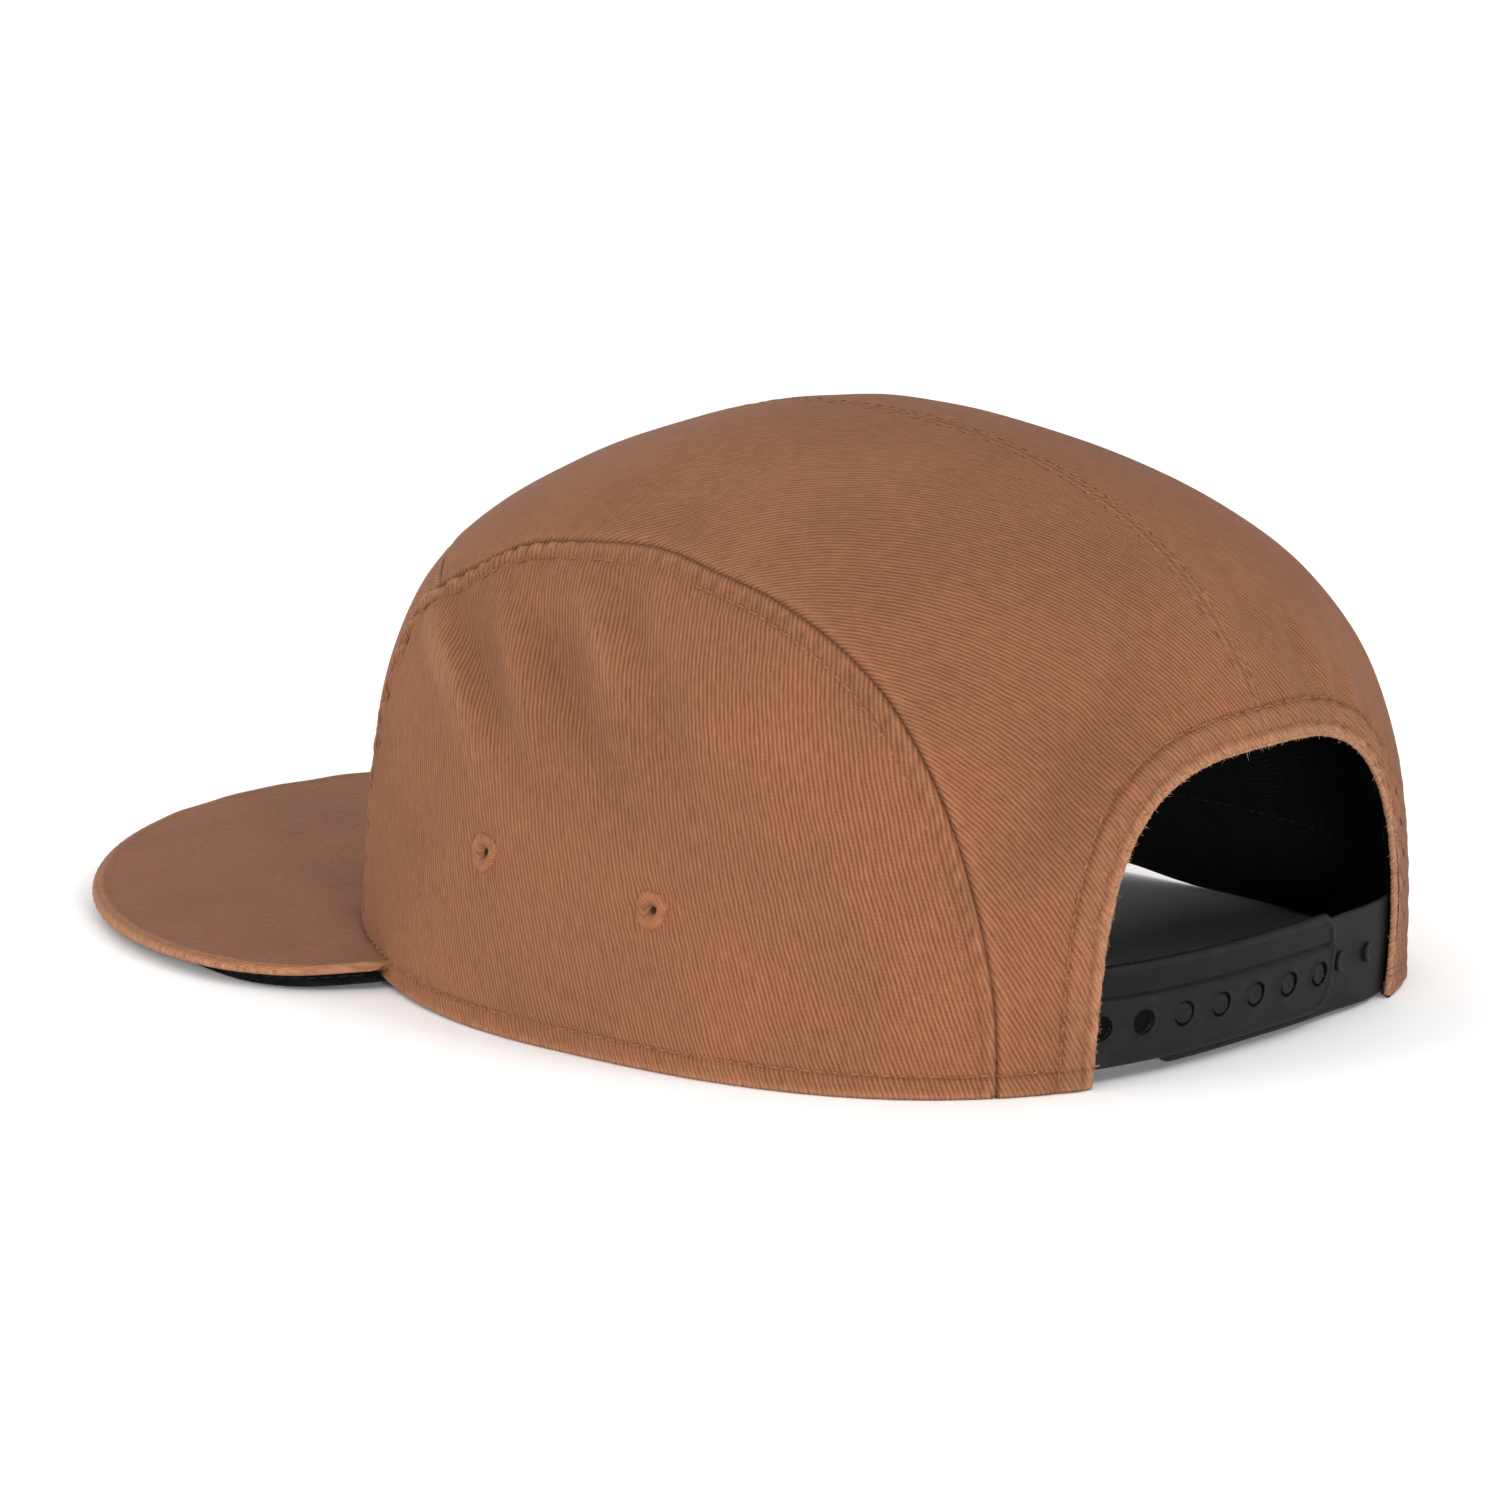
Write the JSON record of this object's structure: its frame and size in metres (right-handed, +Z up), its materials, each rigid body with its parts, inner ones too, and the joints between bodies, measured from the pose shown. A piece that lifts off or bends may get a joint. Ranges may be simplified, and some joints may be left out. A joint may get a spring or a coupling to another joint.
{
  "type": "five panel cap",
  "caption": "Soft cap with a forehead panel, two rounded side panels, two back panels, a flat stiffened peak, sewn eyelets and a plastic snap strap under an arched back opening.",
  "frame": {"origin": "middle of the cap's length and width, on the surface that it stands on", "axes": "+Z up, -Y towards the tip of the peak, +X towards the wearer's left"},
  "size_m": [0.182, 0.2618, 0.1051],
  "materials": {
    "twill": "matte brown cotton twill with a 1 mm diagonal rib",
    "peak_twill": "matte brown cotton twill over a stiff board",
    "thread": "brown embroidery thread with a slight sheen",
    "lining": "matte black plain weave",
    "sweatband": "matte black soft band",
    "strap": "matte black moulded plastic"
  },
  "bodies": {
    "root": {"front_panel": "twill", "back_panel_left": "twill", "back_panel_right": "twill", "side_panel_left": "twill", "side_panel_right": "twill", "arch_binding": "twill", "eyelet_left_front": "thread", "eyelet_left_rear": "thread", "eyelet_right_front": "thread", "eyelet_right_rear": "thread", "lining": "lining", "sweatband": "sweatband", "peak": "peak_twill", "peak_underside": "lining", "strap_outer": "strap", "strap_inner": "strap"}
  },
  "joints": []
}
